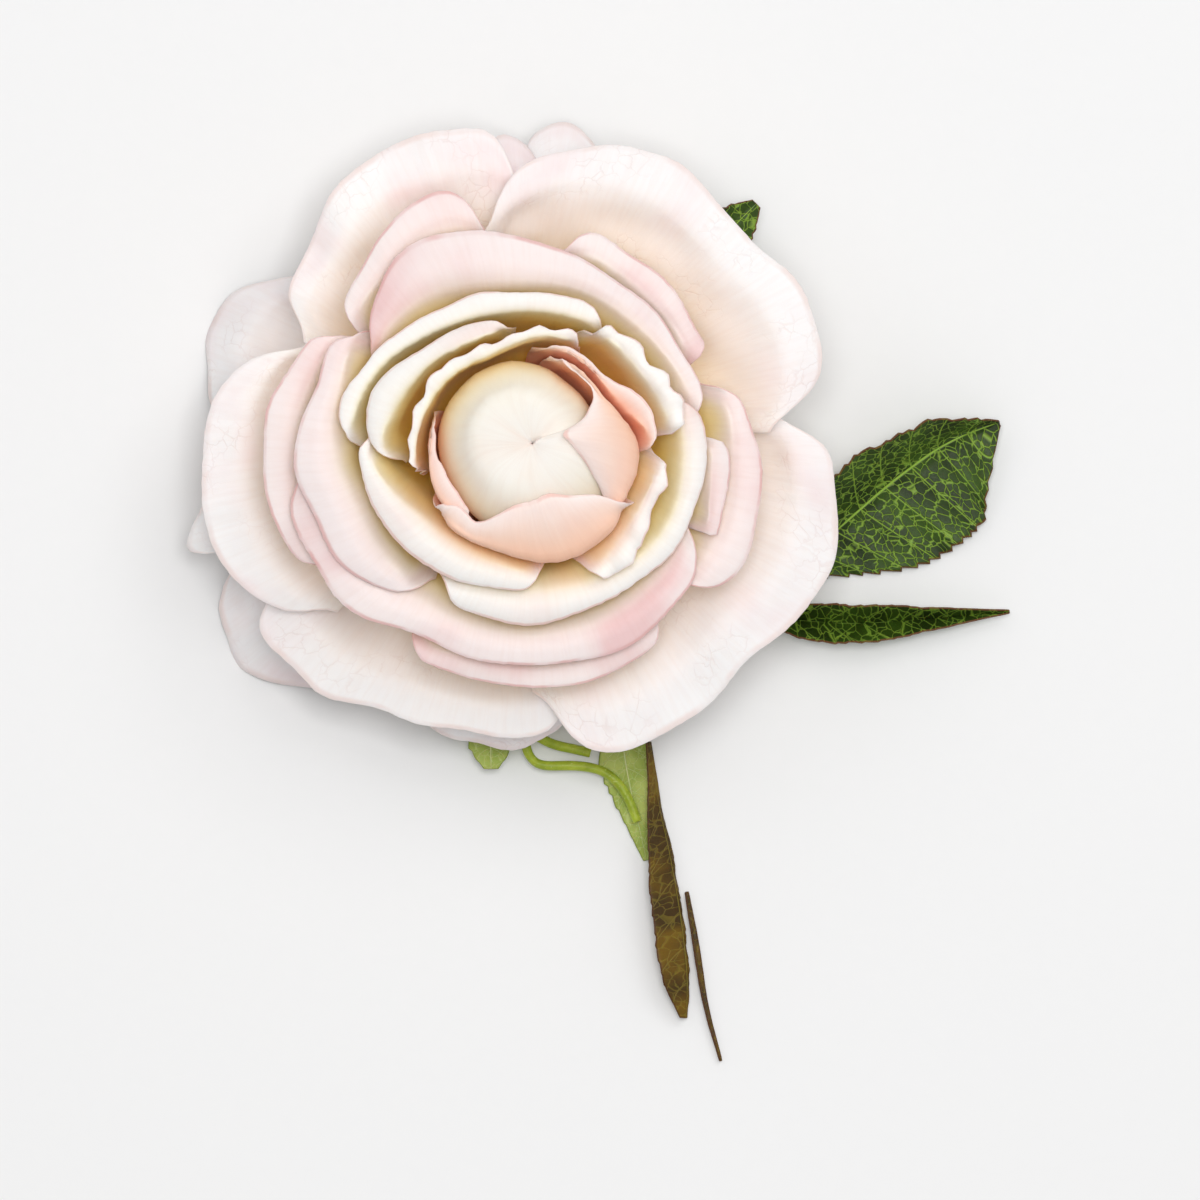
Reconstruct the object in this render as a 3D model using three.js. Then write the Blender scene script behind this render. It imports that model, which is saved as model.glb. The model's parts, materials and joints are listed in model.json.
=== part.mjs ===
// A full garden rose head, lying face up on its short cut stem and its leaf sprigs.
// Millimetres, +Z up. The flower's axis is vertical; the group is shifted at the end so that its
// origin is the bottom centre of the whole rose.
import * as THREE from 'three'

// ---- Driving dimensions ----
const HEAD_DIAMETER = 100 // across the guard petals
const HEAD_HEIGHT = 56 // from the surface to the top of the heart petal
const PETAL_THICKNESS = 0.4
const LEAF_THICKNESS = 0.4
const CLEARANCE = 0.32 // between pieces that touch
const HIP_RADIUS = 11 // ring on which the outermost petals are seated
const HIP_RISE = 9 // height of the seats' dome above that ring
const HIP_LEVEL = 14 // height of that ring above the surface
const STEM_RADIUS = 2.2
const STEM_REACH = 44 // how far the cut end lies from the flower's axis
const STEM_BEARING = 105 // degrees, from +X towards +Y
const STALK_RADIUS = 0.85
const SEPAL_LENGTH = 26
const SEPAL_HALF_WIDTH = 3.6
const SEPAL_COUNT = 5
const LEAF_SCALE = 1 // of every leaflet's half widths

// ---- Mesh fineness ----
const COLUMN_LENGTH = 6.5 // along a petal's rim
const COLUMN_ANGLE = 15 // degrees, the most that one column turns
const FEWEST_COLUMNS = 6
const ROWS = [0, 0.14, 0.27, 0.4, 0.5, 0.62, 0.75, 1] // from a petal's seat to its rim
const LEAF_ROWS = 9
const STALK_SIDES = 8
const STEM_SIDES = 12
const STEM_STEPS = 12
const HIP_SIDES = 24
const HIP_ARC_STEPS = 8

// The petal tables are written for a head of this size, and are scaled to the driving dimensions.
const TABLE_DIAMETER = 100
const TABLE_HEIGHT = 56
const WIDE = HEAD_DIAMETER / TABLE_DIAMETER
const TALL = HEAD_HEIGHT / TABLE_HEIGHT

const COLOURS = {
  petal: { color: 0xfbf3ec, roughness: 0.75, metalness: 0 },
  green: { color: 0x8fa53a, roughness: 0.5, metalness: 0 },
  leaf: { color: 0x2f4a12, roughness: 0.6, metalness: 0 },
  bronze: { color: 0x6b4a0a, roughness: 0.6, metalness: 0 },
  underside: { color: 0xa8b858, roughness: 0.7, metalness: 0 }
}

const rose = new THREE.Group()
const radians = THREE.MathUtils.degToRad
const lerp = THREE.MathUtils.lerp

function add(name, geometry, look) {
  const mesh = new THREE.Mesh(geometry, new THREE.MeshStandardMaterial(COLOURS[look]))
  mesh.name = name
  rose.add(mesh)
}

// Value of column k at x, on a smooth curve through rows of numbers sorted by their first column.
function smoothThrough(rows, x, k) {
  const last = rows.length - 1
  let i = 0
  while (i < last - 1 && x > rows[i + 1][0]) i++
  const [a, b] = [rows[i], rows[i + 1]]
  const slope = (p, q) => (q[k] - p[k]) / (q[0] - p[0])
  const inner = slope(a, b)
  const before = i > 0 ? (slope(rows[i - 1], a) + inner) / 2 : inner
  const after = i + 2 <= last ? (slope(b, rows[i + 2]) + inner) / 2 : inner
  const span = b[0] - a[0]
  const t = THREE.MathUtils.clamp((x - a[0]) / span, 0, 1)
  const rise = t * t * (3 - 2 * t)
  const leave = t * (1 - t) * (1 - t) * span * before
  const arrive = t * t * (1 - t) * span * after
  return lerp(a[k], b[k], rise) + leave - arrive
}

// ---- Sheets: a grid of points, thickened to both sides into one closed body ----
function sheet(grid, thickness) {
  const columns = grid.length
  const rows = grid[0].length
  const at = (i, j) => grid[Math.min(Math.max(i, 0), columns - 1)][Math.min(Math.max(j, 0), rows - 1)]
  const positions = []
  for (const side of [0.5, -0.5]) {
    for (let i = 0; i < columns; i++) {
      for (let j = 0; j < rows; j++) {
        const across = at(i + 1, j).clone().sub(at(i - 1, j))
        const along = at(i, j + 1).clone().sub(at(i, j - 1))
        const offset = across.cross(along).normalize().multiplyScalar(side * thickness)
        positions.push(...at(i, j).clone().add(offset).toArray())
      }
    }
  }
  const half = columns * rows
  const index = []
  const quad = (a, b, c, d) => index.push(a, b, c, a, c, d)
  for (let i = 0; i < columns - 1; i++) {
    for (let j = 0; j < rows - 1; j++) {
      const [a, b, c, d] = [i * rows + j, (i + 1) * rows + j, (i + 1) * rows + j + 1, i * rows + j + 1]
      quad(a, b, c, d)
      index.push(half + a, half + c, half + b, half + a, half + d, half + c)
    }
  }
  const border = []
  for (let i = 0; i < columns; i++) border.push(i * rows)
  for (let j = 1; j < rows; j++) border.push((columns - 1) * rows + j)
  for (let i = columns - 2; i >= 0; i--) border.push(i * rows + rows - 1)
  for (let j = rows - 2; j > 0; j--) border.push(j)
  border.forEach((a, n) => {
    const b = border[(n + 1) % border.length]
    quad(b, a, half + a, half + b)
  })
  const geometry = new THREE.BufferGeometry()
  geometry.setAttribute('position', new THREE.Float32BufferAttribute(positions, 3))
  geometry.setIndex(index)
  return geometry
}

// ---- Petals ----
// The flower's centre line leans a little as it rises: [height, x, y] in table sizes.
const CENTRE_LINE = [
  [0, 0, 0],
  [14, 0, 0],
  [29, 0.8, -1.0],
  [42, 1.9, -2.3],
  [47, 2.6, -3.2],
  [50, 3.0, -3.4],
  [54, 1.6, -1.6],
  [58, 0, 0]
]

// Point at a bearing (degrees), radius and height (mm) around the leaning centre line.
function aroundAxis(bearing, radius, height) {
  const level = height / TALL
  const x = WIDE * smoothThrough(CENTRE_LINE, level, 1)
  const y = WIDE * smoothThrough(CENTRE_LINE, level, 2)
  const angle = radians(bearing)
  return new THREE.Vector3(x + radius * Math.cos(angle), y + radius * Math.sin(angle), height)
}

// Where a petal is seated on the hip's dome: seat 0 is the innermost, one pitch apart.
const SEAT_PITCH = PETAL_THICKNESS + CLEARANCE
const FIRST_SEAT_ANGLE = 0.12

function seatPoint(seat) {
  const angle = FIRST_SEAT_ANGLE + (seat * SEAT_PITCH) / ((HIP_RADIUS + HIP_RISE) / 2)
  return [HIP_RADIUS * Math.sin(angle), HIP_LEVEL + HIP_RISE * Math.cos(angle)]
}

// How each ring of petals turns over at the top. The lip is the part between neck and rim:
// fall is how far the lip's crest stands above the rim, and rise how far above the neck,
// both as shares of the lip's width. belly is where the wall's middle lies on its way to the neck,
// and tuck how far (mm) the neck is drawn in under the ring inside it.
const RINGS = {
  heart: { fall: 0.06, rise: 0.52, belly: [0.66, 0.4], tuck: 0 },
  bud: { fall: -0.08, rise: 0.5, belly: [0.66, 0.4], tuck: 0 },
  flare: { fall: -0.25, rise: 0.6, belly: [0.66, 0.4], tuck: 0 },
  ruffle: { fall: 0.15, rise: 0.7, belly: [0.64, 0.4], tuck: 0 },
  cup: { fall: 0.22, rise: 0.36, belly: [0.62, 0.4], tuck: 0.3 },
  ring: { fall: 0.16, rise: 0.26, belly: [0.6, 0.4], tuck: 1.4 },
  skirt: { fall: 0.14, rise: 0.26, belly: [0.6, 0.42], tuck: 1.6 },
  guard: { fall: 0.08, rise: 0.26, belly: [0.6, 0.44], tuck: 2 },
  under: { fall: 0.4, rise: 0.02, belly: [0.6, 0.5], tuck: 1 }
}

// Every petal: name, ring, seat, and its rim from one end to the other as
// [bearing, rim radius, rim height, neck radius]. turn is how many seats its own roll climbs.
const PETALS = [
  ['heart_petal', 'heart', 0, [
    [-10, 0.5, 52.9, 12.8], [28, 0.55, 53, 11.4], [60, 0.6, 53.2, 11.8], [110, 0.7, 53.4, 14],
    [165, 0.8, 53.6, 14.3], [205, 0.9, 53.7, 13.2], [245, 1, 53.8, 12.8], [290, 1.15, 53.9, 13.2],
    [325, 1.3, 54, 12.9], [350, 1.4, 54.1, 13.8], [388, 1.6, 54.2, 12.4]], 1.3],
  ['bud_petal_1', 'bud', 2.6, [
    [-50, 14.2, 51, 15], [-36, 13.8, 51.6, 15.2], [-14, 9, 55, 15.9], [5, 6.6, 56, 16],
    [20, 9.6, 54.8, 14.8], [35, 12.4, 53, 13.8], [58, 13.8, 52, 14.3], [80, 14.9, 51.4, 15.5]]],
  ['bud_petal_2', 'flare', 4, [
    [-2, 19.4, 50.5, 18.4], [10, 19.3, 50.5, 17.7], [25, 19.1, 50.6, 15.8], [37, 17.5, 50.8, 15.1],
    [46, 16.4, 51, 15.4], [56, 16.4, 51, 15.8], [70, 17.3, 50.6, 16.5], [88, 18, 50.2, 17.1]]],
  ['bud_petal_3', 'bud', 4, [
    [158, 16.6, 49.8, 16.7], [172, 15.6, 50.6, 16.4], [195, 13.9, 52.2, 16.3],
    [211, 13.2, 52.6, 15.9], [232, 13.6, 52.2, 15.2]]],
  ['bud_petal_4', 'bud', 5.4, [
    [206, 15.8, 52, 17.4], [220, 14.4, 53.2, 17.1], [236, 14.4, 53.2, 16.7], [252, 11.4, 54.4, 16.2],
    [282, 9.4, 55.2, 17], [310, 10.8, 55, 17], [324, 13.6, 53.6, 16.9], [334, 16, 52, 17.2]]],
  ['ruffle_petal_1', 'ruffle', 5.6, [
    [60, 20.1, 50.4, 19.1], [75, 19.9, 50.4, 18.8], [90, 19.5, 50.6, 18.6], [109, 18.2, 50.8, 17.1],
    [127, 19.1, 50.6, 17.6], [142, 19.9, 50.4, 18.2], [158, 19.7, 50.2, 18.4],
    [175, 19.7, 49.6, 18.5], [196, 19.6, 48.6, 18.6]]],
  ['ruffle_petal_2', 'ruffle', 6.9, [
    [5, 23, 49.4, 21.8], [12, 23.8, 49.8, 21.2], [21, 24.4, 50, 20.8], [31, 23.7, 50.2, 20.8],
    [38, 22.9, 50.4, 20.7], [48, 23.5, 50.2, 20.8], [59, 23, 50, 21.2], [68, 22.2, 49.8, 21.2]]],
  ['ruffle_petal_3', 'ruffle', 6.9, [
    [-68, 22, 48, 20.2], [-46, 22.4, 48.6, 18.4], [-32, 20.6, 49.2, 18], [-16, 20.4, 49.6, 18.2],
    [-6, 21, 49.8, 19], [1, 21.8, 49.6, 20.4]]],
  ['cup_petal_1', 'cup', 8.1, [
    [95, 21.6, 47.6, 20.9], [112, 22, 47.8, 20], [130, 23.4, 47.8, 21], [149, 25.6, 47.6, 21.8],
    [161, 26.6, 47.4, 22.6], [172, 26.2, 47, 23.6], [180, 24.2, 46.2, 22.7], [188, 22, 45.2, 21.2]]],
  ['cup_petal_2', 'cup', 9, [
    [170, 27.6, 46.2, 26.2], [180, 27.2, 46.6, 25.1], [188, 26.8, 46.8, 24.3], [201, 25.7, 47.2, 21.2],
    [221, 24.5, 47.4, 18.6], [238, 23.2, 47.4, 17.8], [258, 21.2, 47.2, 17.8],
    [280, 20.8, 46.6, 19.4]]],
  ['cup_petal_3', 'cup', 10, [
    [228, 27.4, 44.6, 25.6], [240, 27.3, 44.6, 23], [254, 26.9, 44.6, 21.6], [272, 26.8, 44.4, 21.6],
    [292, 26.4, 44.4, 22], [310, 26.3, 44.6, 23], [328, 27, 44.8, 24], [348, 27.4, 45, 23.8],
    [370, 26.9, 45, 23.8], [389, 25.4, 45, 24]]],
  ['cup_petal_4', 'cup', 10, [
    [54, 24.9, 47, 23.9], [62, 24.8, 47, 23], [80, 25, 47.2, 22.6], [98, 25.4, 47.2, 22.6],
    [116, 26.5, 47, 23.6], [134, 27.6, 47, 25.2], [150, 29.4, 46.8, 27.4], [164, 30.4, 46.6, 28.4],
    [175, 30.2, 46.2, 28.6], [183, 29.6, 45.8, 28.6]]],
  ['ring_petal_1', 'ring', 11.1, [
    [7, 30, 44, 28.8], [19, 28.9, 44.2, 27.6], [34, 28.4, 44.4, 26.8], [55, 29.3, 44.6, 26.8],
    [75, 30.9, 44.6, 27], [92, 33, 44.6, 27.4], [106, 35.8, 44.4, 27.8], [119, 37, 44, 28.8],
    [132, 34.2, 43.6, 29.8], [144, 32, 42.9, 29.9], [154, 30.5, 42.2, 29.7]]],
  ['ring_petal_2', 'ring', 12.1, [
    [142, 34.8, 43, 33.6], [150, 34.4, 43.2, 33.1], [160, 34.7, 43.6, 32.2], [175, 36, 43.8, 31.6],
    [186, 36.2, 43.8, 30.8], [197, 35.4, 43.8, 29.2], [206, 34.6, 43.6, 28.6],
    [216, 33.4, 43.2, 28.7], [226, 31, 42.8, 28.8], [236, 29.2, 42.4, 28.6]]],
  ['ring_petal_3', 'ring', 13.1, [
    [178, 37.6, 40.2, 36.4], [190, 37.8, 40.6, 34.6], [204, 38.2, 41, 32.8], [218, 37.6, 41.4, 31.2],
    [236, 34.6, 41.6, 29.8], [258, 33.6, 41.4, 29.9], [278, 34.2, 41.2, 30], [300, 34.4, 41.2, 29.7],
    [320, 33.2, 41.6, 29.4], [332, 31.2, 42, 29], [340, 29.6, 42.2, 28.6]]],
  ['ring_petal_4', 'ring', 13.1, [
    [24, 32.2, 42.4, 30.6], [32, 31.7, 42.6, 30], [45, 33.4, 42.8, 30.6], [60, 33.9, 42.8, 31.4],
    [73, 34.9, 42.6, 32.4], [83, 33.8, 42.4, 32.6]]],
  ['ring_petal_5', 'ring', 15, [
    [-44, 35.8, 38.6, 34.4], [-34, 37.8, 39, 33.4], [-20, 38.3, 39.4, 33.2], [-8, 36.6, 39.8, 33],
    [2, 35.5, 40, 32.8], [12, 34.5, 40.2, 32.6], [20, 33.9, 40.2, 32.6]]],
  ['ring_petal_6', 'ring', 14, [
    [-28, 32.8, 41.6, 32], [-17, 32, 42, 30.4], [-8, 31.5, 42.2, 29.6], [-1, 31, 42.2, 29.4],
    [5, 30.6, 42, 29.4]]],
  ['skirt_petal_1', 'skirt', 14.9, [
    [146, 35.2, 36.6, 34.2], [157, 37.6, 37, 35.2], [170, 40.1, 37.2, 36.2], [182, 41, 37.2, 36.8],
    [194, 40.8, 37.2, 37],
    [205, 40, 36.8, 37.2], [215, 38.7, 36.2, 37.4]]],
  ['skirt_petal_2', 'skirt', 14.1, [
    [236, 38, 36.6, 36.8], [250, 37.4, 37, 35.4], [266, 37.4, 37.2, 35], [280, 38.4, 37, 35.4],
    [296, 37.6, 36.8, 35.2], [312, 37, 36.6, 35.6]]],
  ['skirt_petal_3', 'skirt', 13.7, [
    [99, 37.4, 39, 35.4], [106, 41, 39.4, 36.4], [114, 42.1, 39.6, 37], [124, 40, 39.4, 36.4],
    [134, 37.4, 39, 35.2], [148, 35, 38.4, 33.9]]],
  ['guard_petal_1', 'guard', 16.1, [
    [2, 43.6, 31, 40], [14, 48.2, 31.6, 40], [27, 49.6, 32.4, 40], [40, 48, 33, 39.4],
    [52, 48, 33.2, 39.4], [64, 49.8, 33.2, 40], [76, 48, 33, 39.6], [86, 44.4, 32.6, 38.4],
    [94, 40.3, 32, 36.8], [101, 36.4, 31.4, 35]]],
  ['guard_petal_2', 'guard', 17.3, [
    [-87, 45.2, 25, 40], [-78, 49.6, 25.6, 39.6], [-67, 51.6, 26.2, 39.4], [-55, 50.6, 27, 39.2],
    [-45, 49.6, 27.8, 39.2], [-34, 50.9, 28.2, 40], [-24, 52.6, 28.4, 40.8], [-12, 50.8, 28, 41],
    [-3, 48.4, 27.4, 41], [6, 45.4, 26.8, 41]]],
  ['guard_petal_3', 'guard', 18.5, [
    [208, 48, 17.6, 42], [218, 50.2, 18.4, 41], [229, 50.9, 19, 40.4], [240, 48.8, 20, 40],
    [252, 47.1, 20.6, 39.6], [266, 47.1, 21, 39.6], [284, 46, 21, 40]]],
  ['guard_petal_4', 'guard', 17.3, [
    [156, 40, 24.6, 38], [163, 43.6, 25, 38.8], [170, 47, 25, 39.6], [179, 49.3, 24.8, 40.4],
    [189, 50.2, 24.4, 40.8], [199, 50.8, 24, 41], [209, 48.8, 23.4, 41], [217, 45.6, 23, 41],
    [224, 42.6, 22.6, 40.6]]],
  ['guard_petal_5', 'guard', 18.5, [
    [88, 42.2, 26.4, 38.6], [96, 48.2, 26.6, 39.4], [105, 49.6, 26.8, 39.8], [116, 50.1, 26.8, 40.2],
    [126, 48.6, 26.6, 40.2], [137, 44.8, 26, 39.4], [147, 42.8, 25, 38.8], [156, 40.4, 24, 38]]],
  ['under_petal_1', 'under', 20.8, [
    [201, 47, 4.4, 42], [209, 52.8, 2.4, 42.6], [217, 56.8, 0.36, 43], [224, 54.8, 0.8, 42.6],
    [230, 52, 2.4, 42], [238, 47.6, 5, 41]]],
  ['under_petal_2', 'under', 19.6, [
    [184, 47, 13.6, 42], [192, 50.4, 13, 42.4], [197, 53.4, 12.4, 42.6], [203, 53.6, 11.6, 42.6]]],
  ['under_petal_3', 'under', 19.6, [
    [140, 40.4, 7, 37], [148, 45.4, 4.4, 38.6], [154, 50.4, 1.6, 40], [160, 51.2, 0.36, 41],
    [168, 49.4, 1.2, 41.4], [175, 48, 2.8, 41], [181, 44, 5.4, 40]]],
  ['under_petal_4', 'under', 19.6, [
    [84, 41, 16, 37], [88, 45.6, 15.4, 38], [92, 47, 15, 38.4], [96, 45.4, 15, 38],
    [101, 41, 15.6, 37]]],
  ['under_petal_5', 'under', 20.8, [
    [70, 42, 12.6, 38], [75, 47.6, 11.4, 39], [80, 49.5, 11, 39.6], [85, 47.6, 11.4, 39],
    [90, 42.6, 12.4, 38]]],
  ['under_petal_6', 'under', 20.8, [
    [246, 44, 12.6, 40], [254, 47.6, 11.6, 40.6], [262, 49.3, 11, 41], [269, 49.2, 11, 41],
    [276, 47.6, 11.6, 40.6], [284, 44, 12.8, 40]]]
]

// A petal's side edges stop short of the rim by this share, which rounds its upper corners.
const CORNER_SHARE = 0.24
const CORNER_SHARPNESS = 12
const CREST_PLACE = 0.48 // of the way in from the rim to the neck

function petalGrid(ring, seat, rim, turn = 0) {
  const { fall, rise, belly, tuck } = RINGS[ring]
  const [first, last] = [rim[0][0], rim[rim.length - 1][0]]
  const reach = WIDE * Math.max(...rim.map((point) => Math.max(point[1], point[3])))
  const arc = radians(last - first) * reach
  const columns = Math.max(FEWEST_COLUMNS, Math.round(arc / COLUMN_LENGTH),
    Math.ceil((last - first) / COLUMN_ANGLE))
  const grid = []
  for (let i = 0; i <= columns; i++) {
    const share = i / columns
    const bearing = lerp(first, last, share)
    const rimRadius = WIDE * smoothThrough(rim, bearing, 1)
    const rimHeight = TALL * smoothThrough(rim, bearing, 2)
    const neckRadius = WIDE * (smoothThrough(rim, bearing, 3) - tuck)
    const [seatRadius, seatHeight] = seatPoint(seat + turn * share)
    const lip = Math.abs(rimRadius - neckRadius)
    const crestHeight = rimHeight + fall * lip
    const neckHeight = crestHeight - rise * lip
    const profile = new THREE.CatmullRomCurve3([
      new THREE.Vector3(seatRadius, 0, seatHeight),
      new THREE.Vector3(lerp(seatRadius, neckRadius, belly[0]), 0, lerp(seatHeight, neckHeight, belly[1])),
      new THREE.Vector3(neckRadius, 0, neckHeight),
      new THREE.Vector3(lerp(rimRadius, neckRadius, CREST_PLACE), 0, crestHeight),
      new THREE.Vector3(rimRadius, 0, rimHeight)
    ], false, 'centripetal')
    const corner = 1 - CORNER_SHARE * Math.abs(2 * share - 1) ** CORNER_SHARPNESS
    grid.push(ROWS.map((row) => {
      const point = profile.getPoint(row * corner)
      return aroundAxis(bearing, point.x, point.z)
    }))
  }
  return grid
}

for (const [name, ring, seat, rim, turn] of PETALS) {
  add(name, sheet(petalGrid(ring, seat, rim, turn), PETAL_THICKNESS), 'petal')
}

// ---- Receptacle: the hip under the seats, turned about the axis ----
const HIP_CLEARANCE = 1.4 * CLEARANCE // more than between petals, because the petals' facets dip
const HIP_GAP = PETAL_THICKNESS / 2 + HIP_CLEARANCE
const NECK_RADIUS = 3
const NECK_LEVEL = 7.2
const SHOULDER_LEVEL = 9.6

function receptacle() {
  const outline = []
  for (let i = 0; i <= HIP_ARC_STEPS; i++) {
    const angle = (i / HIP_ARC_STEPS) * (Math.PI / 2)
    const radius = (HIP_RADIUS - HIP_GAP) * Math.sin(angle)
    outline.unshift(new THREE.Vector2(radius, HIP_LEVEL + (HIP_RISE - HIP_GAP) * Math.cos(angle)))
  }
  outline.unshift(new THREE.Vector2((HIP_RADIUS - HIP_GAP + NECK_RADIUS) / 2, SHOULDER_LEVEL))
  outline.unshift(new THREE.Vector2(NECK_RADIUS, NECK_LEVEL))
  outline.unshift(new THREE.Vector2(0, NECK_LEVEL))
  return new THREE.LatheGeometry(outline, HIP_SIDES).rotateX(Math.PI / 2)
}

add('receptacle', receptacle(), 'green')

// ---- Leaves and sepals: two half blades on a midrib ----
// midrib: points. widths: [share of length, left, right]. tilts: degrees that each half blade
// lifts from the level, at the base and at the tip: [left base, left tip, right base, right tip].
function bladeGrid(midrib, widths, tilts) {
  const curve = new THREE.CatmullRomCurve3(midrib.map((p) => new THREE.Vector3(...p)))
  const up = new THREE.Vector3(0, 0, 1)
  const grid = [[], [], [], [], []]
  for (let j = 0; j < LEAF_ROWS; j++) {
    const share = j / (LEAF_ROWS - 1)
    const point = curve.getPointAt(share)
    const left = up.clone().cross(curve.getTangentAt(share)).normalize()
    const halves = [
      [smoothThrough(widths, share, 1), radians(lerp(tilts[0], tilts[1], share)), 1],
      [smoothThrough(widths, share, 2), radians(lerp(tilts[2], tilts[3], share)), -1]
    ]
    const [onLeft, onRight] = halves.map(([width, tilt, side]) => {
      const out = left.clone().multiplyScalar(side * Math.cos(tilt)).addScaledVector(up, Math.sin(tilt))
      return out.multiplyScalar(width)
    })
    grid[0].push(point.clone().add(onRight))
    grid[1].push(point.clone().addScaledVector(onRight, 0.5))
    grid[2].push(point)
    grid[3].push(point.clone().addScaledVector(onLeft, 0.5))
    grid[4].push(point.clone().add(onLeft))
  }
  return grid
}

const SEPAL_START = 7.4
const FIRST_SEPAL_BEARING = 0
const SEPAL_WIDTHS = [[0, 0.6, 0.6], [0.3, 1, 1], [0.65, 0.7, 0.7], [1, 0.12, 0.12]]
const SEPAL_HEIGHTS = [8, 8.3, 7.8, 6.4]
const SEPAL_TILTS = [-14, -20, -14, -20]

for (let k = 0; k < SEPAL_COUNT; k++) {
  const bearing = radians(FIRST_SEPAL_BEARING + (k * 360) / SEPAL_COUNT)
  const midrib = SEPAL_HEIGHTS.map((height, n) => {
    const reach = SEPAL_START + (n / (SEPAL_HEIGHTS.length - 1)) * SEPAL_LENGTH
    return [reach * Math.cos(bearing), reach * Math.sin(bearing), height]
  })
  const widths = SEPAL_WIDTHS.map(([share, left, right]) =>
    [share, left * SEPAL_HALF_WIDTH, right * SEPAL_HALF_WIDTH])
  add(`sepal_${k + 1}`, sheet(bladeGrid(midrib, widths, SEPAL_TILTS), LEAF_THICKNESS), 'green')
}

// Leaflets lie where the head leaves them free: [name, look, midrib, widths, tilts].
const LEAFLETS = [
  ['right_leaflet_1', 'leaf',
    [[42.4, -22, 1], [50.6, -14.4, 1.8], [60.2, -6.1, 2.8], [68.4, -0.6, 3.6], [75.8, 2, 4.4]],
    [[0, 1, 1], [0.15, 6, 6], [0.4, 11, 13], [0.62, 10.4, 14.4], [0.8, 7.4, 12.6], [0.92, 3.6, 7],
      [1, 0.5, 0.6]],
    [48, 66, -6, -4]],
  ['right_leaflet_2', 'leaf',
    [[33.2, -23.4, 0.8], [40, -28, 0.4], [51, -29.6, 0.5], [61.3, -29.2, 1], [70.6, -28.4, 1.8],
      [77.4, -27.8, 2.4]],
    [[0, 0.6, 0.6], [0.25, 4.7, 4.7], [0.45, 6.6, 6.6], [0.7, 4.4, 4.4], [1, 0.5, 0.5]],
    [62, 66, 58, 66]],
  ['top_leaflet', 'leaf',
    [[20.6, 17.8, 4.6], [27.5, 25.6, 6.4], [33.4, 32, 7.4], [37.6, 36.2, 7.6]],
    [[0, 0.6, 0.6], [0.35, 3.8, 3.8], [0.75, 3.9, 3.9], [0.93, 2.4, 2.4], [1, 0.9, 0.9]],
    [20, 24, 16, 20]],
  ['bottom_leaflet_1', 'bronze',
    [[20.8, -48.4, 3.6], [22.2, -58, 3.4], [24, -66.4, 3.2], [26, -78.6, 2.8], [26.7, -87, 2.4],
      [26.5, -91.6, 2]],
    [[0, 0.5, 0.5], [0.2, 0.7, 1.7], [0.4, 0.8, 4], [0.6, 0.8, 5], [0.8, 0.7, 4.8],
      [0.93, 0.6, 3.2], [1, 0.45, 0.9]],
    [-50, -50, 40, 34]],
  ['bottom_leaflet_2', 'bronze',
    [[26.6, -72, 1.5], [28.2, -82, 1.2], [29.6, -90, 1], [32, -98.4, 0.9]],
    [[0, 0.4, 0.4], [0.3, 0.7, 1], [0.7, 0.5, 0.6], [1, 0.25, 0.25]],
    [-10, -10, 84, 84]],
  ['bottom_leaflet_3', 'underside',
    [[15.6, -38, 2], [16.4, -46, 1], [17.4, -53, 0.7], [19, -60.4, 0.6], [20.4, -66.8, 0.5]],
    [[0, 0.6, 0.6], [0.3, 3.6, 3.6], [0.5, 3.4, 3.8], [0.75, 1.9, 2.2], [1, 0.5, 0.4]],
    [4, 0, 4, 0]],
  ['bottom_leaflet_4', 'underside',
    [[-3, -27, 3.4], [-3.8, -36, 4.6], [-4.1, -45, 5], [-4, -52.4, 4.6]],
    [[0, 0.6, 0.6], [0.4, 3.2, 3.2], [0.8, 3.7, 3.7], [0.94, 2.6, 2.6], [1, 1.1, 1.1]],
    [-8, -14, -8, -14]]
]

for (const [name, look, midrib, widths, tilts] of LEAFLETS) {
  const scaled = widths.map(([share, left, right]) => [share, left * LEAF_SCALE, right * LEAF_SCALE])
  add(name, sheet(bladeGrid(midrib, scaled, tilts), LEAF_THICKNESS), look)
}

// ---- Stem and stalks: round rods along smooth routes ----
function rod(points, radius, sides, steps) {
  const section = new THREE.Shape()
  for (let k = 0; k < sides; k++) {
    const angle = (k / sides) * Math.PI * 2
    const corner = [radius * Math.cos(angle), radius * Math.sin(angle)]
    if (k === 0) section.moveTo(...corner)
    else section.lineTo(...corner)
  }
  const path = new THREE.CatmullRomCurve3(points.map((p) => new THREE.Vector3(...p)))
  return new THREE.ExtrudeGeometry(section, { steps, bevelEnabled: false, extrudePath: path })
}

const STEM_TOP = NECK_LEVEL - CLEARANCE - STEM_RADIUS
// The stem's centre as [share of its reach, height].
const STEM_ROUTE = [
  [0.018, STEM_TOP],
  [0.08, 3.2],
  [0.2, STEM_RADIUS + 0.15],
  [0.6, STEM_RADIUS],
  [1, STEM_RADIUS]
]
const stemPoints = STEM_ROUTE.map(([share, height]) => {
  const bearing = radians(STEM_BEARING)
  const reach = share * STEM_REACH
  return [reach * Math.cos(bearing), reach * Math.sin(bearing), height]
})
add('stem', rod(stemPoints, STEM_RADIUS, STEM_SIDES, STEM_STEPS), 'green')

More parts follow.
